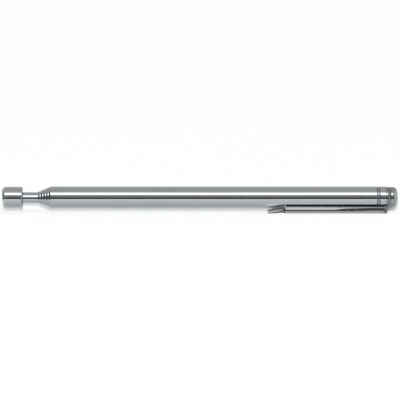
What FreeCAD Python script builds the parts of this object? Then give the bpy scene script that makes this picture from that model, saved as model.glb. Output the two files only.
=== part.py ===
import FreeCAD, Part
import math
import os
import re
import Sketcher

# A pen-type magnetic pickup tool, pushed shut. Five tubes slide and turn inside a barrel, the
# innermost one carries a magnet in a cup, and the barrel's tail holds a domed cap and a pocket clip.
#
# Millimetres. Inside every body the tool's axis is the x axis, from 0 at the magnet's face to
# closed_length at the cap's crown. Each body is then placed so that x = 0 is the middle of the
# closed tool and the barrel lies on z = 0, where it comes to rest on the barrel and the clip.

SECTIONS = 5

SIZES = {
    # the whole tool
    "closed_length": 127.0,
    "barrel_diameter": 8.0,
    # the nested tubes
    "tube_wall": 0.20,
    "tube_gap": 0.17,
    "mouth_step": 0.875,
    "mouth_land": 0.25,
    "mouth_taper": 0.35,
    "mouth_round": 0.08,
    "running_clearance": 0.03,
    "neck_length": 5.0,
    # what stops and brakes each tube at its tail end
    "base_clearance": 0.3,
    "stop_ring_length": 1.0,
    "spring_length": 3.5,
    "spring_thickness": 0.12,
    "spring_seat": 0.01,
    "spring_span": 168.0,
    "spring_end_play": 0.1,
    "bead_length": 0.6,
    # the magnet's head
    "head_length": 6.55,
    "head_diameter": 7.8,
    "head_front_chamfer": 0.75,
    "head_back_chamfer": 0.3,
    "cup_wall": 0.85,
    "magnet_length": 4.6,
    "sleeve_wall": 0.45,
    "sleeve_recess": 0.25,
    "stud_length": 4.0,
    "spigot_diameter": 2.4,
    # the barrel's tail, its plug and the cap
    "plug_length": 4.3,
    "crimp_spacing": 0.65,
    "crimp_width": 0.42,
    "crimp_depth": 0.12,
    "crimp_to_end": 2.2,
    "crimp_clearance": 0.02,
    "end_shoulder_length": 0.7,
    "end_shoulder_drop": 0.07,
    "cap_length": 3.3,
    "cap_diameter": 7.7,
    "cap_rim_length": 0.3,
    "cap_groove_depth": 0.12,
    "cap_groove_width": 0.75,
    "cap_edge_radius": 1.5,
    "cap_crown": 0.15,
    "cap_flat_radius": 0.4,
    "cap_stud_diameter": 3.0,
    "cap_stud_length": 3.4,
    # the pocket clip
    "clip_angle": 122.0,
    "clip_thickness": 0.4,
    "clip_width": 3.0,
    "clip_lift": 0.7,
    "clip_bend_radius": 1.0,
    "clip_joint_gap": 0.03,
    "clip_reach": 33.9,
    "clip_dip_length": 1.5,
    "clip_rest_gap": 0.05,
    "clip_spade_width": 3.7,
    "clip_nose_length": 4.6,
    "clip_nose_rise": 1.0,
    "clip_nose_width": 1.7,
    "clip_fold_radius": 1.2,
}


def formula(text):
    """The formula with each size's name pointing at its cell in the sheet."""
    return re.sub("[a-z_]+", lambda word: f"Sizes.{word[0]}" if word[0] in SIZES else word[0], text)


def value(text):
    """What the formula comes to now."""
    return sheet.evalExpression(formula(text))


# Places along the axis
head_back = "head_length"
cap_seat = "(closed_length - cap_length)"
barrel_end = f"({cap_seat} - clip_thickness)"
plug_front = f"({barrel_end} - plug_length)"
tube_end = f"({plug_front} - base_clearance)"
ring_front = f"({tube_end} - stop_ring_length)"
spring_back = f"({ring_front} - spring_end_play)"
spring_front = f"({spring_back} - spring_length)"
bead_back = f"({spring_front} - spring_end_play)"
bead_front = f"({bead_back} - bead_length)"


def outer_radius(tube):
    """Tube 0 is the barrel and the last one carries the head."""
    return f"(barrel_diameter / 2 - {tube} * (tube_wall + tube_gap))"


def bore_radius(tube):
    return f"({outer_radius(tube)} - tube_wall)"


def mouth(tube):
    """The front end of a tube that has another one inside it."""
    return f"({head_back} + neck_length + {SECTIONS - 1 - tube} * mouth_step)"


def make_sheet(document):
    """The driving dimensions, one named cell each."""
    cells = document.addObject("Spreadsheet::Sheet", "Sizes")
    for row, (name, number) in enumerate(SIZES.items(), start=1):
        cells.set(f"A{row}", name)
        cells.set(f"B{row}", str(number))
        cells.setAlias(f"B{row}", name)
    document.recompute()
    return cells


def new_body(label, turn="0"):
    """A body on the tool's axis, turned about it by that many degrees."""
    body = document.addObject("PartDesign::Body", label)
    body.Label = label
    body.setExpression("Placement", formula(
        "placement(vector(-closed_length / 2; 0; barrel_diameter / 2); "
        f"rotation(vector(1; 0; 0); {turn}))"))
    return body


def new_sketch(body, name, plane):
    sketch = body.newObject("Sketcher::SketchObject", f"{body.Name}_{name}")
    origin_plane = next(item for item in body.Origin.OriginFeatures if item.Role == plane)
    sketch.AttachmentSupport = [(origin_plane, "")]
    sketch.MapMode = "FlatFace"
    return sketch


def arc_middle(start, end, radius, side):
    """Halfway along the short arc that bulges to the left (1) or right (-1) of its chord."""
    chord = end - start
    rise = radius - math.sqrt(radius ** 2 - (chord.Length / 2) ** 2)
    left = FreeCAD.Vector(-chord.y, chord.x, 0).normalize()
    return start + chord * 0.5 + left * rise * side


def draw_outline(sketch, corners):
    """A closed outline. A corner is (x, y), each a formula, and the side that leads on from it is
    straight, or an arc where the corner also has a radius and the side that the arc bulges to."""
    points = [FreeCAD.Vector(value(corner[0]), value(corner[1]), 0) for corner in corners]
    first = len(sketch.Geometry)
    for place, corner in enumerate(corners):
        start = points[place]
        end = points[(place + 1) % len(points)]
        if len(corner) == 2:
            sketch.addGeometry(Part.LineSegment(start, end), False)
        else:
            middle = arc_middle(start, end, value(corner[2]), corner[3])
            anticlockwise = (start, middle, end) if corner[3] == -1 else (end, middle, start)
            sketch.addGeometry(Part.Arc(*anticlockwise), False)
    ends = [edge_ends(sketch.Geometry[first + place], point) for place, point in enumerate(points)]
    for place, corner in enumerate(corners):
        after = (place + 1) % len(corners)
        edge = first + place
        sketch.addConstraint(
            Sketcher.Constraint("Coincident", edge, ends[place][1], first + after, ends[after][0]))
        if corner[1] == "0":
            sketch.addConstraint(Sketcher.Constraint("PointOnObject", edge, ends[place][0], -1))
        else:
            bind(sketch, "DistanceY", edge, ends[place][0], corner[1], points[place].y)
        bind(sketch, "DistanceX", edge, ends[place][0], corner[0], points[place].x)
        if len(corner) > 2:
            number = sketch.addConstraint(Sketcher.Constraint("Radius", edge, value(corner[2])))
            sketch.setExpression(f"Constraints[{number}]", formula(corner[2]))


def edge_ends(edge, start):
    """Which end of a side, 1 or 2, is the one at the start, and which is the other."""
    return (1, 2) if edge.StartPoint.isEqual(start, 1e-6) else (2, 1)


def bind(sketch, kind, edge, end, text, number):
    """Measures a corner from the sketch's origin and ties it to the sheet."""
    constraint = sketch.addConstraint(Sketcher.Constraint(kind, -1, 1, edge, end, number))
    sketch.setExpression(f"Constraints[{constraint}]", formula(text))


def turned(label, corners, span=None, turn="0"):
    """A piece turned on the lathe: an outline above the axis, swung all the way or by a span."""
    body = new_body(label, turn)
    sketch = new_sketch(body, "outline", "XZ_Plane")
    draw_outline(sketch, corners)
    revolution = body.newObject("PartDesign::Revolution", f"{label}_revolution")
    revolution.Profile = sketch
    revolution.ReferenceAxis = (sketch, ["H_Axis"])
    if span:
        revolution.Midplane = True
        revolution.setExpression("Angle", formula(span))
    sketch.Visibility = False
    return body


def mouth_outside(tube):
    """The swaged mouth that guides the next tube, from its face out to the tube's full size."""
    land = f"({outer_radius(tube + 1)} + running_clearance + tube_wall)"
    return [
        (mouth(tube), f"{land} - mouth_round", "mouth_round", 1),
        (f"{mouth(tube)} + mouth_round", land),
        (f"{mouth(tube)} + mouth_land", land),
        (f"{mouth(tube)} + mouth_land + mouth_taper", outer_radius(tube)),
    ]


def mouth_inside(tube):
    """The same mouth's bore, from the tube's full bore in to its face."""
    guide = f"({outer_radius(tube + 1)} + running_clearance)"
    return [
        (f"{mouth(tube)} + mouth_land + mouth_taper", bore_radius(tube)),
        (f"{mouth(tube)} + mouth_land", guide),
        (mouth(tube), guide),
    ]


def crimps(radius, first_edge, direction):
    """Both rolled grooves along a wall of that radius, met in the direction given."""
    roll = "((crimp_width ^ 2 / 4 + crimp_depth ^ 2) / (2 * crimp_depth))"
    corners = []
    for place in first_edge:
        centre = f"({barrel_end} - crimp_to_end - {place} * crimp_spacing)"
        corners += [
            (f"{centre} - {direction} * crimp_width / 2", radius, roll, -direction),
            (f"{centre} + {direction} * crimp_width / 2", radius),
        ]
    return corners


def make_barrel():
    outside = mouth_outside(0) + crimps(outer_radius(0), (1, 0), 1) + [
        (f"{barrel_end} - end_shoulder_length", outer_radius(0)),
        (f"{barrel_end} - end_shoulder_length", f"{outer_radius(0)} - end_shoulder_drop"),
        (barrel_end, f"{outer_radius(0)} - end_shoulder_drop"),
    ]
    inside = [(barrel_end, bore_radius(0))] + crimps(bore_radius(0), (0, 1), -1) + mouth_inside(0)
    return turned("barrel", outside + inside)


def make_section(number):
    """A sliding tube with the bead that stops it at the next mouth when it is drawn right out."""
    radius = outer_radius(number)
    height = "(tube_gap - running_clearance)"
    roll = f"((bead_length ^ 2 / 4 + {height} ^ 2) / (2 * {height}))"
    bead_and_end = [
        (bead_front, radius, roll, 1),
        (bead_back, radius),
        (tube_end, radius),
        (tube_end, bore_radius(number)),
    ]
    if number < SECTIONS:
        corners = mouth_outside(number) + bead_and_end + mouth_inside(number)
    else:
        corners = [(head_back, radius)] + bead_and_end + [(head_back, bore_radius(number))]
    return turned(f"section_{number}", corners)


def make_stop_ring(number):
    """The collar pressed on a tube's tail end, which guides it in the tube outside."""
    inside = outer_radius(number)
    outside = f"{bore_radius(number - 1)} - running_clearance"
    return turned(f"stop_ring_{number}", [
        (ring_front, inside),
        (ring_front, outside),
        (tube_end, outside),
        (tube_end, inside),
    ])


def make_friction_spring(number, half, turn):
    """One of the two half shells that brake a tube in the one outside it."""
    inside = f"({outer_radius(number)} + spring_seat)"
    return turned(f"friction_spring_{number}{half}", [
        (spring_front, inside),
        (spring_front, f"{inside} + spring_thickness"),
        (spring_back, f"{inside} + spring_thickness"),
        (spring_back, inside),
    ], span="spring_span", turn=turn)


def make_magnet_cup():
    radius = "(head_diameter / 2)"
    return turned("magnet_cup", [
        ("0", f"{radius} - head_front_chamfer"),
        ("head_front_chamfer", radius),
        (f"{head_back} - head_back_chamfer", radius),
        (head_back, f"{radius} - head_back_chamfer"),
        (head_back, "spigot_diameter / 2"),
        ("magnet_length", "spigot_diameter / 2"),
        ("magnet_length", f"{radius} - cup_wall"),
        ("0", f"{radius} - cup_wall"),
    ])


def make_magnet_sleeve():
    """The non-magnetic ring that keeps the magnet clear of the cup's wall."""
    outside = "(head_diameter / 2 - cup_wall)"
    return turned("magnet_sleeve", [
        ("sleeve_recess", f"{outside} - sleeve_wall"),
        ("sleeve_recess", outside),
        ("magnet_length", outside),
        ("magnet_length", f"{outside} - sleeve_wall"),
    ])


def make_magnet():
    radius = "head_diameter / 2 - cup_wall - sleeve_wall"
    return turned("magnet", [
        ("0", "0"),
        ("0", radius),
        ("magnet_length", radius),
        ("magnet_length", "0"),
    ])


def make_head_stud():
    """The plug in the neck whose spigot is riveted through the cup's floor."""
    return turned("head_stud", [
        ("magnet_length", "0"),
        ("magnet_length", "spigot_diameter / 2"),
        (head_back, "spigot_diameter / 2"),
        (head_back, bore_radius(SECTIONS)),
        (f"{head_back} + stud_length", bore_radius(SECTIONS)),
        (f"{head_back} + stud_length", "0"),
    ])


def make_tail_plug():
    """The plug that the barrel is rolled onto, drilled for the cap's stud."""
    groove_half = "(crimp_width / 2 + crimp_clearance)"
    floor = f"{bore_radius(0)} - crimp_depth - crimp_clearance"
    outside = [(plug_front, "0"), (plug_front, bore_radius(0))]
    for place in (1, 0):
        centre = f"({barrel_end} - crimp_to_end - {place} * crimp_spacing)"
        outside += [
            (f"{centre} - {groove_half}", bore_radius(0)),
            (f"{centre} - {groove_half}", floor),
            (f"{centre} + {groove_half}", floor),
            (f"{centre} + {groove_half}", bore_radius(0)),
        ]
    drilled_to = f"{cap_seat} - cap_stud_length"
    return turned("tail_plug", outside + [
        (barrel_end, bore_radius(0)),
        (barrel_end, "cap_stud_diameter / 2"),
        (drilled_to, "cap_stud_diameter / 2"),
        (drilled_to, "0"),
    ])


def make_tail_cap():
    """The cap with a flat rim, a fine groove, a rounded edge and a crowned end."""
    radius = "(cap_diameter / 2)"
    rim_back = f"({cap_seat} + cap_rim_length)"
    edge = f"({radius} - cap_edge_radius)"
    crown_radius = f"((({edge} - cap_flat_radius) ^ 2 + cap_crown ^ 2) / (2 * cap_crown))"
    edge_end = "closed_length - cap_crown"
    return turned("tail_cap", [
        (f"{cap_seat} - cap_stud_length", "0"),
        (f"{cap_seat} - cap_stud_length", "cap_stud_diameter / 2"),
        (cap_seat, "cap_stud_diameter / 2"),
        (cap_seat, radius),
        (rim_back, radius),
        (f"{rim_back} + cap_groove_width / 2", f"{radius} - cap_groove_depth"),
        (f"{rim_back} + cap_groove_width", radius),
        (f"{edge_end} - cap_edge_radius", radius, "cap_edge_radius", 1),
        (edge_end, edge, crown_radius, 1),
        ("closed_length", "cap_flat_radius"),
        ("closed_length", "0"),
    ])


# The clip's strap, seen from the side before the clip is turned to its place
strap_top = "(barrel_diameter / 2 + clip_lift + clip_thickness)"
bend_start = f"({cap_seat} - clip_bend_radius)"


def strap(body, corners, width):
    """A strip of that width, from its side view."""
    sketch = new_sketch(body, "side", "XZ_Plane")
    draw_outline(sketch, corners)
    pad = body.newObject("PartDesign::Pad", f"{body.Name}_strap")
    pad.Profile = sketch
    pad.SideType = "Symmetric"
    pad.setExpression("Length", formula(width))
    sketch.Visibility = False
    document.recompute()
    return pad


def make_clip_root():
    """The washer under the cap and the tab that bends forward over the barrel."""
    body = new_body("clip_root", "clip_angle")
    washer = new_sketch(body, "washer", "YZ_Plane")
    washer.setExpression("AttachmentOffset.Base.z", formula(barrel_end))
    for diameter in ("cap_diameter", "cap_stud_diameter"):
        circle = Part.Circle(FreeCAD.Vector(), FreeCAD.Vector(0, 0, 1), value(f"{diameter} / 2"))
        edge = washer.addGeometry(circle, False)
        washer.addConstraint(Sketcher.Constraint("Coincident", edge, 3, -1, 1))
        number = washer.addConstraint(Sketcher.Constraint("Diameter", edge, value(diameter)))
        washer.setExpression(f"Constraints[{number}]", formula(diameter))
    pad = body.newObject("PartDesign::Pad", "clip_washer")
    pad.Profile = washer
    pad.setExpression("Length", formula("clip_thickness"))
    washer.Visibility = False
    tab_foot = "(cap_diameter / 2 - clip_thickness)"
    bend_centre = f"({strap_top} - clip_bend_radius)"
    strap(body, [
        (barrel_end, tab_foot),
        (barrel_end, bend_centre, "clip_bend_radius - clip_thickness", -1),
        (bend_start, f"{strap_top} - clip_thickness"),
        (f"{bend_start} - clip_thickness", f"{strap_top} - clip_thickness"),
        (f"{bend_start} - clip_thickness", strap_top),
        (bend_start, strap_top, "clip_bend_radius", 1),
        (cap_seat, bend_centre),
        (cap_seat, tab_foot),
    ], "clip_width")
    return body


def make_clip_blade():
    """The springy strap that dips to the barrel, where it is widest, and flares up to its nose."""
    body = new_body("clip_blade", "clip_angle")
    root = f"({bend_start} - clip_thickness - clip_joint_gap)"
    contact = f"({cap_seat} - clip_reach)"
    dip = f"({contact} + clip_dip_length)"
    nose = f"({contact} - clip_nose_length)"
    contact_height = "(barrel_diameter / 2 + clip_rest_gap)"
    nose_height = f"({contact_height} + clip_nose_rise)"
    below = [
        (root, f"{strap_top} - clip_thickness"),
        (dip, f"{strap_top} - clip_thickness"),
        (contact, contact_height),
        (nose, nose_height),
    ]
    above = [(along, f"{up} + clip_thickness") for along, up in reversed(below)]
    pad = strap(body, below + above, "clip_spade_width")
    fold = body.newObject("PartDesign::Fillet", "clip_folds")
    fold.Base = (pad, [edge_at(pad.Shape, *corner) for corner in below[1:3] + above[1:3]])
    fold.setExpression("Radius", formula("clip_fold_radius"))
    document.recompute()
    cut = new_sketch(body, "side_cut", "XY_Plane")
    for side in ("1", "-1"):
        spade_edge = f"{side} * clip_spade_width / 2"
        draw_outline(cut, [
            (root, f"{side} * clip_width / 2"),
            (dip, f"{side} * clip_width / 2"),
            (contact, spade_edge),
            (root, spade_edge),
        ])
        draw_outline(cut, [
            (contact, spade_edge),
            (nose, f"{side} * clip_nose_width / 2"),
            (nose, spade_edge),
        ])
    pocket = body.newObject("PartDesign::Pocket", "clip_sides")
    pocket.Profile = cut
    pocket.Type = "ThroughAll"
    pocket.Reversed = True
    cut.Visibility = False
    return body


def edge_at(shape, along, up):
    """The name of the edge that crosses the strap at that place."""
    place = FreeCAD.Vector(value(along), 0, value(up))
    for number, edge in enumerate(shape.Edges, start=1):
        if edge.CenterOfMass.isEqual(place, 1e-4):
            return f"Edge{number}"


def check(bodies):
    """Stops at a failed feature or a bad solid before anything is written."""
    for item in document.Objects:
        failed = {"Invalid", "Error"} & set(item.State)
        if failed:
            raise RuntimeError(f"{item.Label}: {failed}")
    for body in bodies:
        shape = body.Shape
        if shape.isNull() or not shape.isValid() or len(shape.Solids) != 1 or shape.Volume <= 0:
            raise RuntimeError(f"{body.Label} is not one sound solid")
        print(f"{body.Label}: {shape.Volume:.3f} mm3")


document = FreeCAD.newDocument("magnetic_pickup_tool")
sheet = make_sheet(document)

bodies = [
    make_barrel(),
    make_tail_plug(),
    make_tail_cap(),
    make_clip_root(),
    make_clip_blade(),
    make_magnet_cup(),
    make_magnet_sleeve(),
    make_magnet(),
    make_head_stud(),
]
for number in range(1, SECTIONS + 1):
    bodies.append(make_section(number))
    bodies.append(make_stop_ring(number))
    bodies.append(make_friction_spring(number, "a", "0"))
    bodies.append(make_friction_spring(number, "b", "180"))

document.recompute()
check(bodies)
os.makedirs("parts", exist_ok=True)
for body in bodies:
    body.Shape.exportStep(f"parts/{body.Label}.step")
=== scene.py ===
import math

import bpy
from mathutils import Matrix, Vector


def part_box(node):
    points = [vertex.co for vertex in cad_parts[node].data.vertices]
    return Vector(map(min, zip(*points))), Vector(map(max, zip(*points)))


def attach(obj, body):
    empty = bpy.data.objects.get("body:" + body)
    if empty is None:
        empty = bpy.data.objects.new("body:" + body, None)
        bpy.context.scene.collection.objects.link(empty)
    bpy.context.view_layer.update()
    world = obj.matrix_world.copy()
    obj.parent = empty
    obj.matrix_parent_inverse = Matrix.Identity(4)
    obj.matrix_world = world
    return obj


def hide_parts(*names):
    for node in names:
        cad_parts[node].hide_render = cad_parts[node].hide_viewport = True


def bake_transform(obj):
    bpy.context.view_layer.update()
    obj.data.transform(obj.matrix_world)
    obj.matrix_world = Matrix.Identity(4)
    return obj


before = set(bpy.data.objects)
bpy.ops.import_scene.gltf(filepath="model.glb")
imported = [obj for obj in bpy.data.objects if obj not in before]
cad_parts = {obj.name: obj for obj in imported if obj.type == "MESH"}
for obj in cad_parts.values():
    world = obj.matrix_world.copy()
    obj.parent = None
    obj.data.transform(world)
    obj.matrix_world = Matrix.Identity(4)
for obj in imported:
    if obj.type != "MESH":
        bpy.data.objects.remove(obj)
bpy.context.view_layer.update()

# A pen-type magnetic pickup tool, pushed shut, in metres. Its axis runs along X at the height of
# the barrel's radius, the magnet is at the low X end and the pocket clip at the other.

MM = 0.001


# ---------------------------------------------------------------- sizes

def low_end(node):
    """Where a node starts along the tool."""
    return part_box(node)[0][0]


def high_end(node):
    """Where a node ends along the tool."""
    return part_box(node)[1][0]


def widest_radius(node):
    """Half a round node's width across the tool."""
    low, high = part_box(node)
    return (high[1] - low[1]) / 2


SECTIONS = sum(1 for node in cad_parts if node.startswith("section_"))
BARREL_RADIUS = widest_radius("barrel")
AXIS_HEIGHT = BARREL_RADIUS
BARREL_END = high_end("barrel")
CAP_SEAT = high_end("clip_root")
HEAD_BACK = high_end("magnet_cup")
CLIP_TIP = low_end("clip_blade")

# The nested tubes
TUBE_WALL = 0.20 * MM
TUBE_GAP = 0.17 * MM
RUNNING_CLEARANCE = 0.03 * MM

# The swaged mouths
MOUTH_LIP = 0.07 * MM
MOUTH_TAPER = 0.45 * MM
MOUTH_LENGTH = 0.6 * MM
MOUTH_THROAT_SHARE = 0.5
# How far the painted shade of the gap between the tubes reaches back from each mouth's face and
# from the neck's start, and at how many times that distance it has faded out
MOUTH_PAINTED_SHADE = 0.12 * MM
NECK_PAINTED_SHADOW = 0.15 * MM
PAINTED_SHADE_FADE = 1.5

# The stop bead near each tube's tail end
SPRING_PLAY = 0.1 * MM
BEAD_LENGTH = 0.6 * MM
BEAD_HEIGHT = TUBE_GAP - RUNNING_CLEARANCE

# The barrel's rolled grooves and its narrower tail end
CRIMP_SPACING = 0.65 * MM
CRIMP_WIDTH = 0.42 * MM
CRIMP_DEPTH = 0.12 * MM
# How dark the painted shade in the grooves' floors is
CRIMP_PAINTED_SHADE = -0.8
CRIMP_TO_END = 2.2 * MM
END_SHOULDER_LENGTH = 0.7 * MM
END_SHOULDER_DROP = 0.07 * MM

# The magnet's head
HEAD_FRONT_CHAMFER = 0.68 * MM
HEAD_BACK_CHAMFER = 0.3 * MM
CUP_WALL = 0.85 * MM
CUP_SPIGOT_RADIUS = 1.2 * MM

# The tail cap
CAP_RIM_LENGTH = 0.3 * MM
CAP_GROOVE_WIDTH = 0.75 * MM
CAP_GROOVE_DEPTH = 0.12 * MM
CAP_EDGE_RADIUS = 1.5 * MM
CAP_CROWN = 0.15 * MM
CAP_STUD_RADIUS = 1.5 * MM

# The radii of edges and corners, from crisp to soft
CRISP_ROUND = 0.02 * MM
FINE_ROUND = 0.03 * MM
CUP_MOUTH_ROUND = 0.04 * MM
EDGE_ROUND = 0.05 * MM
ROLLED_ROUND = 0.06 * MM
CAP_SEAT_ROUND = 0.08 * MM
BARREL_END_ROUND = 0.09 * MM
SOFT_ROUND = 0.1 * MM
MAGNET_ROUND = 0.12 * MM
CAP_GROOVE_ROUND = 0.15 * MM
WIDE_ROUND = 0.3 * MM
HEAD_SHOULDER_ROUND = 0.6 * MM

# The pocket clip, whose strap is darkened with painted shade where its shade values say and
# lightened with a painted highlight along its spade
CLIP_ANGLE = math.radians(122)
CLIP_WIDTH = 2.75 * MM
CLIP_THICKNESS = 0.4 * MM
CLIP_LIFT = 0.78 * MM
CLIP_BEND_RADIUS = 1.0 * MM
CLIP_REACH = 33.9 * MM
CLIP_DIP_LENGTH = 1.5 * MM
CLIP_REST_GAP = 0.1 * MM
CLIP_NOSE_RISE = 1.1 * MM
CLIP_FOLD_RADIUS = 1.2 * MM
CLIP_SPADE_WIDTH = 3.1 * MM
CLIP_NOSE_WIDTH = 1.2 * MM
CLIP_CROWN = 0.05 * MM
CLIP_NOSE_CROWN = 0.08 * MM
CLIP_EDGE_ROUND = 0.11 * MM
CLIP_GROOVE_DEPTH = 0.08 * MM
CLIP_SEAT_GAP = 0.01 * MM
CLIP_ROOT_DEPTH = 0.5 * MM
CLIP_INNER_SHADE = 0.1
CLIP_NOSE_SHADE = 0.85
CLIP_BEND_SHADE = 0.7
# Where the painted highlight runs along the spade, off its middle, and the widths over which it
# fades out
CLIP_HIGHLIGHT_SHIFT = -0.2 * MM
CLIP_HIGHLIGHT_WIDTHS = (0.3 * MM, 0.5 * MM)
# How far the strap lies to the side along its length, at its spade and at its tip
CLIP_OFFSETS = (-0.11 * MM, -0.3 * MM, -0.6 * MM)
# How much painted shade the strap's sheared sides get towards its tip, towards its root and at its
# spade
CLIP_SIDE_SHADES = (0.25, 0.6, 0.65)
# The pressed groove's width, narrow and wide, and its shift to the side: towards the tip, in the
# middle and at the root
CLIP_GROOVE_WIDTHS = (0.7 * MM, 1.4 * MM)
CLIP_GROOVE_SHIFTS = (-0.03 * MM, 0.3 * MM, 0.52 * MM)
CLIP_GROOVE_FLAT_SHARE = 0.85
# Spans given as distances before the bend: where the groove widens, where it climbs to the side,
# from where the strap is fully formed, and where the bend gets its painted shade
CLIP_GROOVE_WIDENS = (16.8 * MM, 11.5 * MM)
CLIP_GROOVE_CLIMBS = (11.5 * MM, 3 * MM)
CLIP_FORMED_FROM = 3 * MM
CLIP_BEND_SHADE_SPAN = (0.6 * MM, -0.2 * MM)
# How far the sheared sides stop short of the outer and of the inner face
CLIP_SIDE_MARGINS = (0.03 * MM, 0.04 * MM)
# The tip's rounded end: its length as a share of the tip's width, how much narrower it gets, and
# the least that stays of it
CLIP_END_LENGTH = 0.5
CLIP_END_DEPTH = 0.6
CLIP_END_LEAST = 0.02

CLIP_CONTACT = CAP_SEAT - CLIP_REACH
CLIP_DIP = CLIP_CONTACT + CLIP_DIP_LENGTH
CLIP_BEND = CAP_SEAT - CLIP_BEND_RADIUS

# How finely the shapes are drawn
STEPS_AROUND = 160
CORNER_STEPS = 5
STRAP_CORNER_STEPS = 12
STRAP_STEP = 0.4 * MM
STRAP_SECTION_STEPS = 48
STRAP_ROUND_STEPS = 4
CAP_CROWN_STEPS = 6
CAP_EDGE_STEPS = 10


def tube_radius(number):
    """The outside of a tube, where tube 0 is the barrel."""
    return BARREL_RADIUS - number * (TUBE_WALL + TUBE_GAP)


# ---------------------------------------------------------------- outlines

LONGEST_ROUND_SHARE = 0.45
LEAD_SHARE = 0.4


def corner_arc(before, corner, after, radius, steps):
    """Points along the round that replaces a corner. It takes up less than half of each side."""
    into = (before - corner).normalized()
    out = (after - corner).normalized()
    half = into.angle(out) / 2
    longest = LONGEST_ROUND_SHARE * min((before - corner).length, (after - corner).length)
    reach = min(radius / math.tan(half), longest)
    radius = reach * math.tan(half)
    centre = corner + (into + out).normalized() * (radius / math.sin(half))
    start = corner + into * reach - centre
    end = corner + out * reach - centre
    sweep = math.atan2(start.x * end.y - start.y * end.x, start.dot(end))
    return [centre + Matrix.Rotation(sweep * step / steps, 2) @ start for step in range(steps + 1)]


# What an outline's point is: from 1 for a wear-lightened edge to -1 for a recess darkened with
# painted shade
EDGE, PLAIN, LIGHT_RECESS, DULL_RECESS, RECESS = 1.0, 0.0, -0.35, -0.6, -1.0


def rounded_outline(corners, closed=True, steps=CORNER_STEPS):
    """An outline whose corners (along, out, radius) are rounded. Each point comes with its kind,
    which a corner's fourth value sets where the turn of the corner shouldn't. Two corners with the
    same set kind mark all of the line between them."""
    places = [Vector(corner[:2]) for corner in corners]
    set_kinds = [corner[3] if len(corner) == 4 else None for corner in corners]
    count = len(places)
    outline = []
    for number, (place, corner) in enumerate(zip(places, corners)):
        open_end = not closed and number in (0, count - 1)
        if open_end or corner[2] == 0:
            outline.append((place, set_kinds[number] or PLAIN))
            continue
        last, following = number - 1, (number + 1) % count
        before, after = places[last], places[following]
        way_in, way_out = place - before, after - place
        # Inner corners count as recesses and so get painted shade; outer corners count as edges
        # that show wear
        kind = EDGE if way_in.x * way_out.y - way_in.y * way_out.x < 0 else RECESS
        if set_kinds[number] is not None:
            kind = set_kinds[number]
        arc = corner_arc(before, place, after, corner[2], steps)
        lead = LEAD_SHARE * min(corner[2], (arc[0] - before).length, (arc[-1] - after).length)
        beside = [kind if set_kinds[other] == set_kinds[number] == kind else PLAIN
                  for other in (last, following)]
        outline.append((arc[0] + (before - arc[0]).normalized() * lead, beside[0]))
        outline += [(point, kind) for point in arc]
        outline.append((arc[-1] + (after - arc[-1]).normalized() * lead, beside[1]))
    if closed:
        outline.append(outline[0])
    return outline


# ---------------------------------------------------------------- node helpers

def add(tree, kind, inputs=None, **settings):
    """Adds a node, applies its settings and fills its inputs with values or links."""
    item = tree.nodes.new(kind)
    for name, value in settings.items():
        setattr(item, name, value)
    for key, value in (inputs or {}).items():
        if isinstance(value, bpy.types.NodeSocket):
            tree.links.new(value, item.inputs[key])
        else:
            item.inputs[key].default_value = value
    return item


def new_group(kind, name, inputs, outputs):
    """A node group with its named sockets, and its input and output nodes."""
    tree = bpy.data.node_groups.new(name, kind)
    for label, socket, value in inputs:
        made = tree.interface.new_socket(label, in_out="INPUT", socket_type=socket)
        if value is not None:
            made.default_value = value
    for label, socket in outputs:
        tree.interface.new_socket(label, in_out="OUTPUT", socket_type=socket)
    return tree, tree.nodes.new("NodeGroupInput").outputs, tree.nodes.new("NodeGroupOutput").inputs


def math_node(tree, operation, first, second=0.0, clamp=False):
    """A sum of one or two values or sockets, as a socket."""
    return add(tree, "ShaderNodeMath", {0: first, 1: second}, operation=operation,
               use_clamp=clamp).outputs[0]


def whole_number(tree, operation, first, second):
    """A sum of two whole numbers, as a socket."""
    return add(tree, "FunctionNodeIntegerMath", {0: first, 1: second},
               operation=operation).outputs[0]


# ---------------------------------------------------------------- the lathe

MERGE_DISTANCE = 0.0001 * MM


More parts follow.
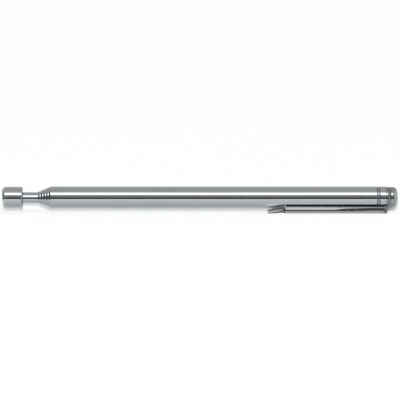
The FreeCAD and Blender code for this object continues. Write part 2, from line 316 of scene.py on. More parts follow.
def lathe_tree():
    """Geometry nodes that swing an outline's points about the tool's axis into a closed skin."""
    tree, given, result = new_group("GeometryNodeTree", "lathe", [
        ("Geometry", "NodeSocketGeometry", None),
        ("Steps Around", "NodeSocketInt", STEPS_AROUND),
        ("Axis Height", "NodeSocketFloat", AXIS_HEIGHT),
        ("Material", "NodeSocketMaterial", None),
    ], [("Geometry", "NodeSocketGeometry")])
    outline = given["Geometry"]
    steps = given["Steps Around"]
    sizes = add(tree, "GeometryNodeAttributeDomainSize", {"Geometry": outline})
    columns = whole_number(tree, "ADD", steps, 1)
    grid = add(tree, "GeometryNodeMeshGrid",
               {"Vertices X": sizes.outputs["Point Count"], "Vertices Y": columns})
    index = add(tree, "GeometryNodeInputIndex").outputs[0]
    row = whole_number(tree, "DIVIDE_FLOOR", index, columns)
    column = whole_number(tree, "MODULO", index, columns)

    def from_outline(value, kind):
        """What the outline's point of that row holds."""
        return add(tree, "GeometryNodeSampleIndex",
                   {"Geometry": outline, "Value": value, "Index": row}, data_type=kind).outputs[0]

    place = from_outline(add(tree, "GeometryNodeInputPosition").outputs[0], "FLOAT_VECTOR")
    turn = math_node(tree, "MULTIPLY", math_node(tree, "DIVIDE", column, steps), math.tau)
    swung = add(tree, "ShaderNodeVectorRotate", {"Vector": place, "Angle": turn},
                rotation_type="X_AXIS").outputs[0]
    lift = add(tree, "ShaderNodeCombineXYZ", {"Z": given["Axis Height"]}).outputs[0]
    lifted = add(tree, "ShaderNodeVectorMath", {0: swung, 1: lift}, operation="ADD").outputs[0]
    skin = add(tree, "GeometryNodeSetPosition",
               {"Geometry": grid.outputs["Mesh"], "Position": lifted}).outputs[0]
    for name in ("edge", "recess"):
        mark = add(tree, "GeometryNodeInputNamedAttribute", {"Name": name}, data_type="FLOAT")
        sampled = from_outline(mark.outputs["Attribute"], "FLOAT")
        skin = add(tree, "GeometryNodeStoreNamedAttribute",
                   {"Geometry": skin, "Name": name, "Value": sampled},
                   data_type="FLOAT", domain="POINT").outputs[0]
    closed = add(tree, "GeometryNodeMergeByDistance",
                 {"Geometry": skin, "Distance": MERGE_DISTANCE}).outputs[0]
    smooth = add(tree, "GeometryNodeSetShadeSmooth", {"Geometry": closed}).outputs[0]
    whole = add(tree, "GeometryNodeRealizeInstances", {"Geometry": smooth}).outputs[0]
    done = add(tree, "GeometryNodeSetMaterial", {"Geometry": whole, "Material": given["Material"]})
    tree.links.new(done.outputs[0], result["Geometry"])
    return tree


def set_input(modifier, name, value):
    """Sets one of a Geometry Nodes modifier's inputs through its socket's identifier."""
    for socket in modifier.node_group.interface.items_tree:
        if socket.name == name and socket.in_out == "INPUT":
            modifier[socket.identifier] = value


def bake(piece, modifier):
    """Gives the piece its modifier's result as a plain mesh."""
    evaluated = piece.evaluated_get(bpy.context.evaluated_depsgraph_get())
    mesh = bpy.data.meshes.new_from_object(evaluated)
    mesh.name = piece.name
    piece.modifiers.remove(modifier)
    piece.data = mesh


def turned_piece(name, corners, material, body, nodes):
    """A piece turned on the lathe from an outline of (along, out, rounding) corners."""
    outline = rounded_outline(corners)
    mesh = bpy.data.meshes.new(name)
    mesh.from_pydata([(point.x, 0, point.y) for point, _ in outline], [], [])
    for label, marked in (("edge", EDGE), ("recess", RECESS)):
        marks = mesh.attributes.new(label, "FLOAT", "POINT")
        marks.data.foreach_set("value", [max(0.0, kind * marked) for _, kind in outline])
    piece = bpy.data.objects.new(name, mesh)
    bpy.context.scene.collection.objects.link(piece)
    modifier = piece.modifiers.new("lathe", "NODES")
    modifier.node_group = LATHE
    set_input(modifier, "Steps Around", STEPS_AROUND)
    set_input(modifier, "Axis Height", AXIS_HEIGHT)
    set_input(modifier, "Material", material)
    bake(piece, modifier)
    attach(piece, body)
    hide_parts(*nodes)


# ---------------------------------------------------------------- surface effects

# Between which noise levels each effect shows
GRAIN_LEVELS = {"From Min": 0.56, "From Max": 0.72}
HAZE_LEVELS = {"From Min": 0.45, "From Max": 0.75}
EDGE_LEVELS = {"From Min": 0.35, "From Max": 0.6}
RECESS_LEVELS = {"From Min": 0.1, "From Max": 0.4}
# How much of the dark or light tone each effect brings: grime along the grain, wear on edges and
# the clip's painted highlight, painted shade in recesses; and how much a recess roughens
GRAIN_DIRT = 0.25
EDGE_WEAR_AND_HIGHLIGHT = 0.6
RECESS_PAINTED_SHADE = 0.95
RECESS_ROUGHNESS = 0.5


def grain_group():
    """Fine lines drawn along X, as height and as a mask."""
    tree, given, result = new_group("ShaderNodeTree", "drawn_grain", [
        ("Lines per Metre", "NodeSocketFloat", 2500.0),
        ("Stretch", "NodeSocketFloat", 60.0),
    ], [("Height", "NodeSocketFloat"), ("Mask", "NodeSocketFloat")])
    place = add(tree, "ShaderNodeTexCoord").outputs["Object"]
    along = math_node(tree, "DIVIDE", given["Lines per Metre"], given["Stretch"])
    across = given["Lines per Metre"]
    scale = add(tree, "ShaderNodeCombineXYZ", {"X": along, "Y": across, "Z": across}).outputs[0]
    spread = add(tree, "ShaderNodeVectorMath", {0: place, 1: scale},
                 operation="MULTIPLY").outputs[0]
    noise = add(tree, "ShaderNodeTexNoise", {"Vector": spread, "Scale": 1.0, "Detail": 3.0,
                                             "Roughness": 0.6}).outputs["Fac"]
    mask = add(tree, "ShaderNodeMapRange", {"Value": noise, **GRAIN_LEVELS}).outputs["Result"]
    tree.links.new(noise, result["Height"])
    tree.links.new(mask, result["Mask"])
    return tree


def haze_group():
    """Cloudy patches of handling."""
    tree, given, result = new_group("ShaderNodeTree", "handling_haze", [
        ("Patches per Metre", "NodeSocketFloat", 90.0),
    ], [("Mask", "NodeSocketFloat")])
    place = add(tree, "ShaderNodeTexCoord").outputs["Object"]
    broad = add(tree, "ShaderNodeTexNoise", {"Vector": place, "Scale": given["Patches per Metre"],
                                             "Detail": 4.0, "Distortion": 0.4}).outputs["Fac"]
    patch = add(tree, "ShaderNodeMapRange", {"Value": broad, **HAZE_LEVELS}).outputs["Result"]
    tree.links.new(patch, result["Mask"])
    return tree


def wear_highlight_and_shade_group():
    """Where a piece's edges show wear, where the clip has its painted highlight and where recesses
    get painted shade, from its own marks.
    """
    tree, given, result = new_group("ShaderNodeTree", "edges_and_recesses", [
        ("Breakup per Metre", "NodeSocketFloat", 900.0),
    ], [("Edge", "NodeSocketFloat"), ("Recess", "NodeSocketFloat")])
    place = add(tree, "ShaderNodeTexCoord").outputs["Object"]
    noise = add(tree, "ShaderNodeTexNoise", {"Vector": place, "Scale": given["Breakup per Metre"],
                                             "Detail": 3.0}).outputs["Fac"]
    for name, levels in (("edge", EDGE_LEVELS), ("recess", RECESS_LEVELS)):
        mark = add(tree, "ShaderNodeAttribute", attribute_name=name).outputs["Fac"]
        breakup = add(tree, "ShaderNodeMapRange", {"Value": noise, **levels}).outputs["Result"]
        tree.links.new(math_node(tree, "MULTIPLY", mark, breakup), result[name.title()])
    return tree


def turning_group():
    """Rings cut by a lathe tool on a face across the tool's axis, as height."""
    tree, given, result = new_group("ShaderNodeTree", "turning_rings", [
        ("Rings per Metre", "NodeSocketFloat", 9000.0),
    ], [("Height", "NodeSocketFloat")])
    place = add(tree, "ShaderNodeTexCoord").outputs["Object"]
    centred = add(tree, "ShaderNodeVectorMath", {0: place, 1: (0, 0, AXIS_HEIGHT)},
                  operation="SUBTRACT").outputs[0]
    across = add(tree, "ShaderNodeVectorMath", {0: centred, 1: (0, 1, 1)},
                 operation="MULTIPLY").outputs[0]
    radius = add(tree, "ShaderNodeVectorMath", {0: across}, operation="LENGTH").outputs["Value"]
    rings = add(tree, "ShaderNodeTexNoise",
                {"W": math_node(tree, "MULTIPLY", radius, given["Rings per Metre"]), "Scale": 1.0,
                 "Detail": 2.0}, noise_dimensions="1D").outputs["Fac"]
    tree.links.new(rings, result["Height"])
    return tree


GRAIN = grain_group()
HAZE = haze_group()
WEAR_HIGHLIGHT_AND_SHADE = wear_highlight_and_shade_group()
TURNING = turning_group()


def effect(tree, group, inputs=None):
    """Adds an effect's group and gives its outputs."""
    item = add(tree, "ShaderNodeGroup", node_tree=group)
    for key, value in (inputs or {}).items():
        item.inputs[key].default_value = value
    return item.outputs


def mix_colour(tree, share, first, second):
    """The first colour with a share of the second one."""
    item = add(tree, "ShaderNodeMix", {0: share, 6: first, 7: second}, data_type="RGBA")
    return item.outputs[2]


HAZE_ROUGHNESS = 0.05
DRAWN_GRAIN = (2500.0, 60.0)
TURNED_GRAIN = (1800.0, 3.0)


def metal(name, slot, tones, roughness, grain=DRAWN_GRAIN, grain_depth=0.0006 * MM, rings=0.0):
    """Bare or plated metal with drawn grain or turning rings, haze, wear-lightened edges and
    recesses darkened with painted shade. The tones are its clean colour, a light one for wear and
    the clip's painted highlight, and a dark one for grime in the grain and for painted shade; the
    grain is its lines per metre and how far they are stretched."""
    colour, wear_and_highlight_tone, dirt = [(*tone, 1) for tone in tones]
    material = bpy.data.materials.new(name)
    material["slot"] = slot
    material.use_nodes = True
    tree = material.node_tree
    shader = tree.nodes["Principled BSDF"]
    lines = effect(tree, GRAIN, {"Lines per Metre": grain[0], "Stretch": grain[1]})
    patches = effect(tree, HAZE)
    marks = effect(tree, WEAR_HIGHLIGHT_AND_SHADE)
    dulled = mix_colour(tree, math_node(tree, "MULTIPLY", lines["Mask"], GRAIN_DIRT), colour, dirt)
    # Edge marks lighten the colour: wear on the turned pieces' outer corners, and a painted
    # highlight along the clip's spade
    rubbed = mix_colour(tree, math_node(tree, "MULTIPLY", marks["Edge"], EDGE_WEAR_AND_HIGHLIGHT), dulled, wear_and_highlight_tone)
    # Recess marks darken the colour towards the dark tone: painted shade
    shade_share = math_node(tree, "MULTIPLY", marks["Recess"], RECESS_PAINTED_SHADE)
    dirty = mix_colour(tree, shade_share, rubbed, dirt)
    tree.links.new(dirty, shader.inputs["Base Color"])
    shader.inputs["Metallic"].default_value = 1.0
    haze = math_node(tree, "MULTIPLY", patches["Mask"], HAZE_ROUGHNESS)
    hazy = math_node(tree, "ADD", haze, roughness)
    grimy = math_node(tree, "MULTIPLY", marks["Recess"], RECESS_ROUGHNESS)
    tree.links.new(math_node(tree, "ADD", hazy, grimy), shader.inputs["Roughness"])
    height = lines["Height"]
    if rings:
        cut = effect(tree, TURNING)["Height"]
        height = math_node(tree, "ADD", height, math_node(tree, "MULTIPLY", cut, rings))
    bump = add(tree, "ShaderNodeBump", {"Height": height, "Strength": 1.0, "Distance": grain_depth})
    tree.links.new(bump.outputs["Normal"], shader.inputs["Normal"])
    return material


# The light tone marks wear and the clip's painted highlight; the dark tone marks grime in the grain
# and painted shade in recesses
CHROME_MARKS = ((0.80, 0.80, 0.79), (0.045, 0.045, 0.045))
CHROME = ((0.615, 0.645, 0.665), *CHROME_MARKS)
SECTION_CHROME = ((0.60, 0.63, 0.65), *CHROME_MARKS)
CAP_CHROME = ((0.465, 0.485, 0.50), *CHROME_MARKS)
CLIP_STEEL = ((0.59, 0.615, 0.63), *CHROME_MARKS)
BRASS = ((0.62, 0.42, 0.16), (0.80, 0.60, 0.28), (0.16, 0.09, 0.04))
BRONZE = ((0.48, 0.24, 0.11), (0.72, 0.42, 0.22), (0.12, 0.06, 0.03))
NICKEL = ((0.42, 0.40, 0.38), (0.60, 0.58, 0.55), (0.10, 0.09, 0.08))

barrel_chrome = metal("barrel_chrome", "barrel_chrome", CHROME, 0.045)
section_chrome = metal("section_chrome", "section_chrome", SECTION_CHROME, 0.05,
                       grain=(3200.0, 90.0), grain_depth=0.001 * MM)
head_chrome = metal("head_chrome", "head_chrome", CHROME, 0.05, grain=TURNED_GRAIN, rings=1.5)
cap_chrome = metal("cap_chrome", "cap_chrome", CAP_CHROME, 0.16, grain=TURNED_GRAIN, rings=1.5)
clip_chrome = metal("clip_chrome", "clip_steel", CLIP_STEEL, 0.07,
                    grain=(3000.0, 80.0), grain_depth=0.0015 * MM)
turned_brass = metal("turned_brass", "turned_brass", BRASS, 0.2, rings=3.0)
sleeve_brass = metal("sleeve_brass", "sleeve_brass", BRASS, 0.25, rings=4.0)
spring_bronze = metal("spring_bronze", "spring_bronze", BRONZE, 0.22,
                      grain=(5000.0, 40.0), grain_depth=0.002 * MM)
magnet_nickel = metal("magnet_nickel", "magnet_nickel", NICKEL, 0.28,
                      grain=(6000.0, 1.5), grain_depth=0.003 * MM, rings=2.0)


# ---------------------------------------------------------------- the tubes

LATHE = lathe_tree()


def mouth_corners(number, start):
    """A tube's swaged mouth: its outside from the face back, and its bore from the back forward."""
    guide = tube_radius(number + 1) + RUNNING_CLEARANCE
    lip = guide + MOUTH_LIP
    slope = (tube_radius(number) - lip) / MOUTH_TAPER
    outside = [
        # The face and the bore's front edge are darkened with painted shade, standing for the gap
        # to the tube inside
        (start, lip, EDGE_ROUND, LIGHT_RECESS),
        (start + MOUTH_PAINTED_SHADE, lip + slope * MOUTH_PAINTED_SHADE, 0, LIGHT_RECESS),
        (start + PAINTED_SHADE_FADE * MOUTH_PAINTED_SHADE, lip + slope * PAINTED_SHADE_FADE * MOUTH_PAINTED_SHADE, 0),
        (start + MOUTH_TAPER, tube_radius(number), WIDE_ROUND, PLAIN),
    ]
    inside = [
        (start + MOUTH_LENGTH, tube_radius(number) - TUBE_WALL, SOFT_ROUND),
        (start + MOUTH_THROAT_SHARE * MOUTH_TAPER, guide, SOFT_ROUND),
        (start, guide, CRISP_ROUND, RECESS),
    ]
    return outside, inside


def crimp_corners(radius, places, direction):
    """The rolled grooves in the barrel's wall at that radius, towards the tail or back from it."""
    corners = []
    for place in places:
        centre = BARREL_END - CRIMP_TO_END - place * CRIMP_SPACING
        half = CRIMP_WIDTH / 2 * direction
        corners += [
            (centre - half, radius, ROLLED_ROUND, PLAIN),
            # The groove's floor is darkened with painted shade
            (centre - half / 2, radius - CRIMP_DEPTH, ROLLED_ROUND, CRIMP_PAINTED_SHADE),
            (centre + half / 2, radius - CRIMP_DEPTH, ROLLED_ROUND, CRIMP_PAINTED_SHADE),
            (centre + half, radius, ROLLED_ROUND, PLAIN),
        ]
    return corners


def make_barrel():
    """The outermost tube: its mouth, its rolled grooves, and its slightly narrower tail end."""
    outside, inside = mouth_corners(0, low_end("barrel"))
    radius = tube_radius(0)
    shoulder = BARREL_END - END_SHOULDER_LENGTH
    end_radius = radius - END_SHOULDER_DROP
    outside += crimp_corners(radius, (1, 0), 1) + [
        (shoulder, radius, FINE_ROUND),
        (shoulder + CRISP_ROUND, end_radius, CRISP_ROUND),
        # The end's outer corner, against the clip's foot, gets painted shade
        (BARREL_END, end_radius, BARREL_END_ROUND, RECESS),
    ]
    bore = [(BARREL_END, radius - TUBE_WALL, CRISP_ROUND)]
    bore += crimp_corners(radius - TUBE_WALL, (0, 1), -1) + inside
    turned_piece("barrel_tube", outside + bore, barrel_chrome, "barrel", ["barrel"])


def make_section(number):
    """A sliding tube with its mouth, its stop bead and its open tail end."""
    node = f"section_{number}"
    radius = tube_radius(number)
    bore = radius - TUBE_WALL
    bead_back = low_end(f"friction_spring_{number}a") - SPRING_PLAY
    bead = [
        (bead_back - BEAD_LENGTH, radius, SOFT_ROUND),
        (bead_back - BEAD_LENGTH / 2, radius + BEAD_HEIGHT, WIDE_ROUND),
        (bead_back, radius, SOFT_ROUND),
        (high_end(node), radius, FINE_ROUND),
        (high_end(node), bore, FINE_ROUND),
    ]
    start = low_end(node)
    if number < SECTIONS:
        outside, inside = mouth_corners(number, start)
    else:
        # The neck's start, against the head, gets a painted shadow
        outside = [(start, radius, 0, DULL_RECESS), (start + NECK_PAINTED_SHADOW, radius, 0, DULL_RECESS),
                   (start + PAINTED_SHADE_FADE * NECK_PAINTED_SHADOW, radius, 0)]
        inside = [(start, bore, FINE_ROUND)]
    turned_piece(f"sliding_tube_{number}", outside + bead + inside, section_chrome, node, [node])


# ---------------------------------------------------------------- the magnet's head

def make_head():
    """The plated cup with its riveted spigot's hole, the ring in it and the magnet."""
    front = low_end("magnet_cup")
    radius = widest_radius("magnet_cup")
    pocket = radius - CUP_WALL
    floor = high_end("magnet")
    turned_piece("head_cup", [
        (front, pocket, CUP_MOUTH_ROUND),
        (front, radius - HEAD_FRONT_CHAMFER, WIDE_ROUND),
        (front + HEAD_FRONT_CHAMFER, radius, HEAD_SHOULDER_ROUND),
        # The back chamfer is darkened with light painted shade
        (HEAD_BACK - HEAD_BACK_CHAMFER, radius, ROLLED_ROUND, LIGHT_RECESS),
        (HEAD_BACK, radius - HEAD_BACK_CHAMFER, ROLLED_ROUND, LIGHT_RECESS),
        (HEAD_BACK, CUP_SPIGOT_RADIUS, FINE_ROUND),
        (floor, CUP_SPIGOT_RADIUS, FINE_ROUND),
        (floor, pocket, EDGE_ROUND),
    ], head_chrome, "section_5", ["magnet_cup"])
    sleeve_front = low_end("magnet_sleeve")
    magnet_radius = widest_radius("magnet")
    turned_piece("head_spacer_ring", [
        (sleeve_front, magnet_radius, EDGE_ROUND),
        (sleeve_front, pocket, EDGE_ROUND),
        (floor, pocket, FINE_ROUND),
        (floor, magnet_radius, FINE_ROUND),
    ], sleeve_brass, "section_5", ["magnet_sleeve"])
    turned_piece("head_magnet", [
        (front, 0, 0),
        (front, magnet_radius, MAGNET_ROUND),
        (floor, magnet_radius, MAGNET_ROUND),
        (floor, 0, 0),
    ], magnet_nickel, "section_5", ["magnet"])


# ---------------------------------------------------------------- the cap and the clip

def make_cap():
    """The domed cap with its stud and the turned groove behind its rim."""
    radius = widest_radius("tail_cap")
    stud_front, crown = low_end("tail_cap"), high_end("tail_cap")
    rim_back = CAP_SEAT + CAP_RIM_LENGTH
    edge_end = crown - CAP_CROWN
    flat = radius - CAP_EDGE_RADIUS
    places_out = [flat * (1 - step / CAP_CROWN_STEPS) for step in range(CAP_CROWN_STEPS + 1)]
    dome = [(crown - CAP_CROWN * (out / flat) ** 2, out, 0) for out in places_out]
    turns = [math.pi / 2 * step / CAP_EDGE_STEPS for step in range(CAP_EDGE_STEPS)]
    edge = [(edge_end - CAP_EDGE_RADIUS * (1 - math.sin(turn)),
             flat + CAP_EDGE_RADIUS * math.cos(turn), 0) for turn in turns]
    turned_piece("tail_cap_dome", [
        (stud_front, 0, 0),
        (stud_front, CAP_STUD_RADIUS, SOFT_ROUND),
        (CAP_SEAT, CAP_STUD_RADIUS, FINE_ROUND),
        # The rim and the groove behind it are darkened with light painted shade
        (CAP_SEAT, radius, CAP_SEAT_ROUND, LIGHT_RECESS),
        (rim_back, radius, EDGE_ROUND, LIGHT_RECESS),
        (rim_back + CAP_GROOVE_WIDTH / 2, radius - CAP_GROOVE_DEPTH, CAP_GROOVE_ROUND,
         LIGHT_RECESS),
        (rim_back + CAP_GROOVE_WIDTH, radius, EDGE_ROUND, LIGHT_RECESS),
    ] + edge + dome, cap_chrome, "barrel", ["tail_cap"])


def make_clip_washer():
    """The clip's round foot, clamped between the barrel's end and the cap."""
    radius = widest_radius("tail_cap")
    turned_piece("clip_washer", [
        (BARREL_END, CAP_STUD_RADIUS, FINE_ROUND),
        # Both its edges, against the barrel and the cap, get painted shade
        (BARREL_END, radius, ROLLED_ROUND, RECESS),
        ((BARREL_END + CAP_SEAT) / 2, radius, 0),
        (CAP_SEAT, radius, ROLLED_ROUND, RECESS),
        (CAP_SEAT, CAP_STUD_RADIUS, FINE_ROUND),
    ], clip_chrome, "barrel", ["clip_root"])


def strap_path():
    """The strap's outer face from the side: (along, out) points from the washer to the tip."""
    seat = CAP_SEAT - CLIP_SEAT_GAP
    top = BARREL_RADIUS + CLIP_LIFT + CLIP_THICKNESS
    contact_height = BARREL_RADIUS + CLIP_REST_GAP + CLIP_THICKNESS
    corners = [
        (seat, BARREL_RADIUS - CLIP_ROOT_DEPTH, 0),
        (seat, top, CLIP_BEND_RADIUS),
        (CLIP_DIP, top, CLIP_FOLD_RADIUS + CLIP_THICKNESS),
        (CLIP_CONTACT, contact_height, CLIP_FOLD_RADIUS),
        (CLIP_TIP, contact_height + CLIP_NOSE_RISE, 0),
    ]
    outline = rounded_outline(corners, closed=False, steps=STRAP_CORNER_STEPS)
    path = [outline[0][0]]
    for point, _ in outline[1:]:
        start = path[-1]
        gap = point - start
        pieces = max(1, round(gap.length / STRAP_STEP))
        path += [start + gap * part / pieces for part in range(1, pieces + 1)]
    return path


def smooth_step(start, end, place):
    """0 before start, 1 beyond end and an eased slope between; end may be the lower one."""
    share = min(1.0, max(0.0, (place - start) / (end - start)))
    return share * share * (3 - 2 * share)


def tip_share(along):
    """How far a place lies from the fold, at 0, to the tip, at 1."""
    return min(1.0, max(0.0, (CLIP_CONTACT - along) / (CLIP_CONTACT - CLIP_TIP)))


def before_bend(span, along):
    """How far a place has come through a span that is given as distances before the bend."""
    return smooth_step(CLIP_BEND - span[0], CLIP_BEND - span[1], along)


def strap_width(along, spade):
    """The strap's width there: wider at the spade, narrow at the tip, whose end is rounded."""
    width = CLIP_WIDTH + (CLIP_SPADE_WIDTH - CLIP_WIDTH) * spade
    width += (CLIP_NOSE_WIDTH - CLIP_SPADE_WIDTH) * tip_share(along)
    from_tip = (along - CLIP_TIP) / (CLIP_END_LENGTH * CLIP_NOSE_WIDTH)
    if from_tip < 1:
        width *= math.sqrt(max(CLIP_END_LEAST, 1 - CLIP_END_DEPTH * (1 - from_tip) ** 2))
    return width


def strap_shape(along):
    """What strap_section needs to know of the strap at that place along it."""
    spade = smooth_step(CLIP_DIP, CLIP_CONTACT, along)
    taper = tip_share(along)
    formed = smooth_step(CLIP_BEND, CLIP_BEND - CLIP_FORMED_FROM, along)
    widened = before_bend(CLIP_GROOVE_WIDENS, along)
    climbed = before_bend(CLIP_GROOVE_CLIMBS, along)
    crown, nose_crown = CLIP_CROWN, CLIP_NOSE_CROWN
    narrow, wide = CLIP_GROOVE_WIDTHS
    tip_shift, middle_shift, root_shift = CLIP_GROOVE_SHIFTS
    tip_side, root_side, nose_side = CLIP_SIDE_SHADES
    return {
        "half": strap_width(along, spade) / 2,
        "crown": formed * (crown + (nose_crown - crown) * spade * (1 - taper)),
        "dirt": CLIP_NOSE_SHADE * spade + CLIP_BEND_SHADE * before_bend(CLIP_BEND_SHADE_SPAN, along),
        "inner_dirt": CLIP_INNER_SHADE * (1 - spade),
        "side_dirt": (tip_side + (root_side - tip_side) * widened
                      + (nose_side - tip_side) * spade),
        "painted_highlight": CLIP_HIGHLIGHT_SHIFT * (1 - taper) if spade else None,
        "groove_half": (narrow + (wide - narrow) * widened) / 2,
        "groove_depth": CLIP_GROOVE_DEPTH * formed * (1 - spade),
        "groove_shift": (tip_shift + (middle_shift - tip_shift) * widened
                         + (root_shift - middle_shift) * climbed),
    }


def strap_section(half, crown, dirt, inner_dirt, side_dirt, painted_highlight, groove_half, groove_depth,
                  groove_shift):
    """The strap cut across: (across, out, edge, recess) points round a crowned strip whose outer
    face has a pressed groove along it, and at the spade a painted highlight. Each shade value says
    how far that face counts as recess and so gets painted shade; the groove gets painted shade too."""
    flat = half - CLIP_EDGE_ROUND
    outer, inner = [], []
    for step in range(STRAP_SECTION_STEPS + 1):
        side = flat * (2 * step / STRAP_SECTION_STEPS - 1)
        drop = crown * (side / half) ** 2
        sunk, off_highlight = 0.0, 1.0
        if groove_depth:
            from_groove = abs(side - groove_shift)
            sunk = smooth_step(groove_half, CLIP_GROOVE_FLAT_SHARE * groove_half, from_groove)
        if painted_highlight is not None:
            off_highlight = smooth_step(*CLIP_HIGHLIGHT_WIDTHS, abs(side - painted_highlight))
        # The groove is darkened with painted shade, and so are the nose and the bend except along
        # the painted highlight
        shade_mark = max(sunk, dirt * off_highlight)
        outer.append((side, -drop - groove_depth * sunk, 1.0 - off_highlight, shade_mark))
        inner.append((side, -drop - CLIP_THICKNESS, 0.0, inner_dirt))
    level, floor = outer[-1][1], inner[-1][1]
    turns = [math.pi / 2 / STRAP_ROUND_STEPS * part for part in range(1, STRAP_ROUND_STEPS + 1)]
    below_face, above_back = CLIP_SIDE_MARGINS
    rounds, sides = [], []
    for sign in (1, -1):
        rounds.append([(sign * (flat + CLIP_EDGE_ROUND * math.sin(turn)),
                        level - CLIP_EDGE_ROUND * (1 - math.cos(turn)),
                        0.0, side_dirt * math.sin(turn)) for turn in turns])
        sides.append([(sign * half, level - CLIP_EDGE_ROUND - below_face, 0.0, side_dirt),
                      (sign * half, floor + above_back, 0.0, side_dirt)])
    return outer + rounds[0] + sides[0] + inner[::-1] + sides[1][::-1] + rounds[1][::-1]


def strap_offset(along):
    """How far the strap lies to the side there."""
    strap, spade, tip = CLIP_OFFSETS
    spade_share = smooth_step(CLIP_DIP, CLIP_CONTACT, along)
    return strap + (spade - strap) * spade_share + (tip - spade) * tip_share(along)


def make_clip_strap():
    """One bent strip: up from the washer, round the bend and along the barrel to the nose."""
    path = strap_path()
    points, edges, recesses = [], [], []
    for number, point in enumerate(path):
        before, after = path[max(number - 1, 0)], path[min(number + 1, len(path) - 1)]
        along = (after - before).normalized()
        outward = Vector((along.y, -along.x))
        section = strap_section(**strap_shape(point.x))
        for across, out, edge, recess in section:
            place = point + outward * out
            points.append((place.x, across + strap_offset(point.x), place.y))
            edges.append(edge)
            recesses.append(recess)
    ring = len(section)
    faces = []
    for number in range(len(path) - 1):
        first, second = number * ring, (number + 1) * ring
        for step in range(ring):
            nearby = (step + 1) % ring
            faces.append((first + step, first + nearby, second + nearby, second + step))
    faces.append(tuple(range(ring))[::-1])
    faces.append(tuple((len(path) - 1) * ring + step for step in range(ring)))
    mesh = bpy.data.meshes.new("clip_strap")
    mesh.from_pydata(points, [], faces)
    mesh.transform(Matrix.Translation((0, 0, AXIS_HEIGHT)) @ Matrix.Rotation(CLIP_ANGLE, 4, "X"))
    face_outwards(mesh)
    mesh.shade_smooth()
    for label, values in (("edge", edges), ("recess", recesses)):
        mesh.attributes.new(label, "FLOAT", "POINT").data.foreach_set("value", values)
    mesh.materials.append(clip_chrome)
    strap = bpy.data.objects.new("clip_strap", mesh)
    bpy.context.scene.collection.objects.link(strap)
    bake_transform(strap)
    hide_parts("clip_root", "clip_blade")


def face_outwards(mesh):
    """Turns a closed skin's faces out if they point in."""
    volume = 0.0
    for face in mesh.polygons:
        corners = [mesh.vertices[index].co for index in face.vertices]
        for first, second in zip(corners[1:], corners[2:]):
            volume += corners[0].dot(first.cross(second))
    if volume < 0:
        mesh.flip_normals()


# ---------------------------------------------------------------- pieces inside the tubes

def finish_inner_nodes():
    """The CAD nodes that stay get their metals: the plug, the stud, the rings and the springs."""
    for name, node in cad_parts.items():
        if name in ("tail_plug", "head_stud") or name.startswith("stop_ring"):
            material = turned_brass
        elif name.startswith("friction_spring"):
            material = spring_bronze
        else:
            continue
        node.data.materials.clear()
        node.data.materials.append(material)


# ---------------------------------------------------------------- the studio

CAMERA_ELEVATION = math.radians(13)
CAMERA_DISTANCE = 1.2
FRAME_WIDTH = 128.5 * MM
AIM_BELOW_AXIS = 0.34 * MM
SENSOR_WIDTH = 36.0
VIEW_REACH = 10

# How bright the room is by height, in degrees from the front horizon over the top to the back one,
# as the metal sees it straight across the tool, to the left, far to the left and to the right
FULL_TURN = 360
ROOM_LEVELS = {
    "across": ((0, 0.85), (11.5, 0.85), (12.5, 0.0), (20, 0.0), (23, 0.15), (31, 0.19), (38, 0.30),
               (47, 0.36), (60, 0.5), (84, 0.50), (105, 0.43), (140, 0.50), (180, 0.55),
               (360, 0.85)),
    "left": ((0, 0.70), (12, 0.70), (15, 0.35), (45, 0.55), (76, 0.9), (84, 0.50), (105, 0.43),
             (180, 0.55), (360, 0.70)),
    "far_left": ((0, 0.03), (95, 0.05), (110, 0.45), (180, 0.55), (350, 0.5), (360, 0.03)),
    "right": ((0, 0.75), (50, 0.85), (76, 1.0), (120, 0.7), (180, 0.6), (360, 0.70)),
}
# Each view of the room takes over from the one before it as the direction turns that way
ROOM_TURNS = (("left", -1, 0.09, 0.15), ("far_left", -1, 0.32, 0.45), ("right", 1, 0.40, 0.75))

SOFTBOX_ELEVATION = math.radians(61.7)
SOFTBOX_DISTANCE = 0.7
SOFTBOX_DEPTH = 0.267
SOFTBOX_LENGTH = 0.36
SOFTBOX_POWER = 0.54
FILL_HEIGHT = 1.5
FILL_SIZE = 1.0
FILL_POWER = 13.0

FLOOR_HALF_SIZE = 2.0
FLOOR_COLOUR = (0.9, 0.9, 0.9, 1)
WHITE = (1, 1, 1, 1)
# How much of the floor glows instead of taking shadow, as the camera and as the metal see it
FLOOR_GLOW_SEEN = 0.88
FLOOR_GLOW_MIRRORED = 0.75
# How bright that glow is in the metal, by distance from the axis in millimetres, in the open and
# beside the clip, and over how far the one turns into the other. It paints a reflection that is
# brightest right under the tool, and paints shade beside the clip
FLOOR_REACH = 20 * MM
FLOOR_BLUR = 1 * MM
FLOOR_LEVELS = {
    "open": ((0, 1.35), (2.9, 1.25), (3.3, 1.05), (3.8, 0.80), (4.7, 0.45), (6, 0.43), (10, 0.50),
             (20, 0.62)),
    "by_clip": ((0, 0.90), (3.0, 0.90), (3.5, 0.62), (4.2, 0.62), (4.9, 0.95), (7, 0.95),
                (9, 0.56), (20, 0.62)),
}


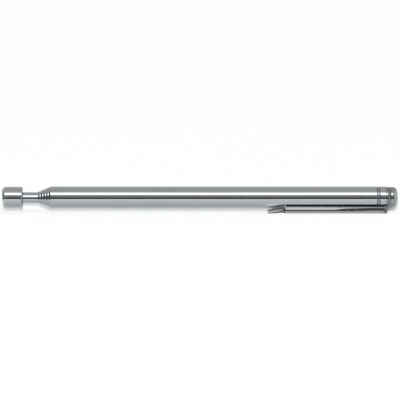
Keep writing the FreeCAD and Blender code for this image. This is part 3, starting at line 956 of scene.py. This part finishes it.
def make_camera():
    """A long lens that looks at the tool's middle from the front, a little from above."""
    data = bpy.data.cameras.new("camera")
    camera = bpy.data.objects.new("camera", data)
    bpy.context.scene.collection.objects.link(camera)
    towards = Vector((0, -math.cos(CAMERA_ELEVATION), math.sin(CAMERA_ELEVATION)))
    down = Vector((0, -math.sin(CAMERA_ELEVATION), -math.cos(CAMERA_ELEVATION)))
    aim = Vector((0, 0, AXIS_HEIGHT)) + down * AIM_BELOW_AXIS
    camera.location = aim + towards * CAMERA_DISTANCE
    camera.rotation_euler = (-towards).to_track_quat("-Z", "Y").to_euler()
    data.sensor_width = SENSOR_WIDTH
    data.lens = SENSOR_WIDTH * CAMERA_DISTANCE / FRAME_WIDTH
    data.clip_end = VIEW_REACH
    bpy.context.scene.camera = camera


def level_ramp(tree, place, levels, reach):
    """Grey levels by place, which runs to 1 at reach, from (place, level) stops."""
    brightest = max(level for _, level in levels)
    ramp = add(tree, "ShaderNodeValToRGB", {0: place})
    stops = ramp.color_ramp.elements
    stops.remove(stops[0])
    for number, (at, level) in enumerate(levels):
        stop = stops[0] if number == 0 else stops.new(at / reach)
        stop.position = at / reach
        stop.color = (*[level / brightest] * 3, 1)
    return math_node(tree, "MULTIPLY", ramp.outputs["Color"], brightest)


def smooth_range(tree, value, start, end):
    """0 before start, 1 beyond end and an eased slope between, as a socket."""
    return add(tree, "ShaderNodeMapRange", {"Value": value, "From Min": start, "From Max": end},
               interpolation_type="SMOOTHSTEP").outputs["Result"]


def blend_levels(tree, share, first, second):
    """The first level with a share of the second one, as a socket."""
    return add(tree, "ShaderNodeMix", {0: share, 2: first, 3: second}).outputs[0]


def make_world():
    """A plain room, dark in a band above the camera, that the camera itself sees as white."""
    world = bpy.data.worlds.new("room")
    bpy.context.scene.world = world
    world.use_nodes = True
    tree = world.node_tree
    tree.nodes.clear()
    direction = add(tree, "ShaderNodeTexCoord").outputs["Generated"]
    way = add(tree, "ShaderNodeSeparateXYZ", {0: direction})
    forward = math_node(tree, "MULTIPLY", way.outputs["Y"], -1.0)
    angle = math_node(tree, "ARCTAN2", way.outputs["Z"], forward)
    turns = math_node(tree, "ADD", math_node(tree, "DIVIDE", angle, math.tau), 1.0)
    turn = math_node(tree, "FRACT", turns)
    level = level_ramp(tree, turn, ROOM_LEVELS["across"], FULL_TURN)
    for name, side, start, end in ROOM_TURNS:
        turned = math_node(tree, "MULTIPLY", way.outputs["X"], side)
        share = smooth_range(tree, turned, start, end)
        seen_there = level_ramp(tree, turn, ROOM_LEVELS[name], FULL_TURN)
        level = blend_levels(tree, share, level, seen_there)
    seen = add(tree, "ShaderNodeLightPath").outputs["Is Camera Ray"]
    shade = blend_levels(tree, seen, level, 1.0)
    light = add(tree, "ShaderNodeBackground", {"Color": WHITE, "Strength": shade})
    tree.links.new(light.outputs[0], add(tree, "ShaderNodeOutputWorld").inputs["Surface"])


def make_lamp(name, size, power, elevation, distance):
    """A soft lamp that looks at the tool from the front at that elevation."""
    data = bpy.data.lights.new(name, "AREA")
    data.shape = "RECTANGLE"
    data.size, data.size_y = size
    data.energy = power
    lamp = bpy.data.objects.new(name, data)
    bpy.context.scene.collection.objects.link(lamp)
    towards = Vector((0, -math.cos(elevation), math.sin(elevation)))
    lamp.location = Vector((0, 0, AXIS_HEIGHT)) + towards * distance
    lamp.rotation_euler = (-towards).to_track_quat("-Z", "Y").to_euler()
    return lamp


def make_lamps():
    """The softbox that draws the bright band along the tool, and a plain light from above."""
    make_lamp("softbox", (SOFTBOX_LENGTH, SOFTBOX_DEPTH), SOFTBOX_POWER, SOFTBOX_ELEVATION,
              SOFTBOX_DISTANCE)
    fill = make_lamp("fill", (FILL_SIZE, FILL_SIZE), FILL_POWER, math.radians(90), FILL_HEIGHT)
    fill.visible_glossy = False


def make_floor():
    """A pale floor that looks white and still takes the tool's shadow. In the metal it shows a
    painted glow, brightest right under the tool and darker beside the clip.
    """
    mesh = bpy.data.meshes.new("floor")
    half = FLOOR_HALF_SIZE
    mesh.from_pydata([(-half, -half, 0), (half, -half, 0), (half, half, 0), (-half, half, 0)], [],
                     [(0, 1, 2, 3)])
    floor = bpy.data.objects.new("floor", mesh)
    bpy.context.scene.collection.objects.link(floor)
    material = bpy.data.materials.new("pale_floor")
    material.use_nodes = True
    tree = material.node_tree
    tree.nodes.clear()
    path = add(tree, "ShaderNodeLightPath").outputs
    place = add(tree, "ShaderNodeTexCoord").outputs["Object"]
    along, across, _ = add(tree, "ShaderNodeSeparateXYZ", {0: place}).outputs
    aside = math_node(tree, "ABSOLUTE", across)
    near = math_node(tree, "DIVIDE", aside, FLOOR_REACH, clamp=True)
    past_tip = smooth_range(tree, along, CLIP_TIP - FLOOR_BLUR, CLIP_TIP + FLOOR_BLUR)
    before_cap = smooth_range(tree, along, CAP_SEAT + FLOOR_BLUR, CAP_SEAT - FLOOR_BLUR)
    beside = math_node(tree, "MULTIPLY", past_tip, before_cap)
    reach = FLOOR_REACH / MM
    mirrored = blend_levels(tree, beside, level_ramp(tree, near, FLOOR_LEVELS["open"], reach),
                            level_ramp(tree, near, FLOOR_LEVELS["by_clip"], reach))
    strength = blend_levels(tree, path["Is Camera Ray"], mirrored, 1.0)
    white = add(tree, "ShaderNodeEmission", {"Color": WHITE, "Strength": strength})
    plain = add(tree, "ShaderNodeBsdfDiffuse", {"Color": FLOOR_COLOUR})
    seen = math_node(tree, "MULTIPLY", path["Is Camera Ray"], FLOOR_GLOW_SEEN)
    mirrored_share = math_node(tree, "MULTIPLY", path["Is Glossy Ray"], FLOOR_GLOW_MIRRORED)
    share = math_node(tree, "ADD", seen, mirrored_share)
    mixed = add(tree, "ShaderNodeMixShader", {0: share, 1: plain.outputs[0], 2: white.outputs[0]})
    tree.links.new(mixed.outputs[0], add(tree, "ShaderNodeOutputMaterial").inputs["Surface"])
    mesh.materials.append(material)


# ---------------------------------------------------------------- the scene

make_barrel()
for number in range(1, SECTIONS + 1):
    make_section(number)
make_head()
make_cap()
make_clip_washer()
make_clip_strap()
finish_inner_nodes()
make_camera()
make_world()
make_lamps()
make_floor()
bpy.context.scene.view_settings.view_transform = "Standard"
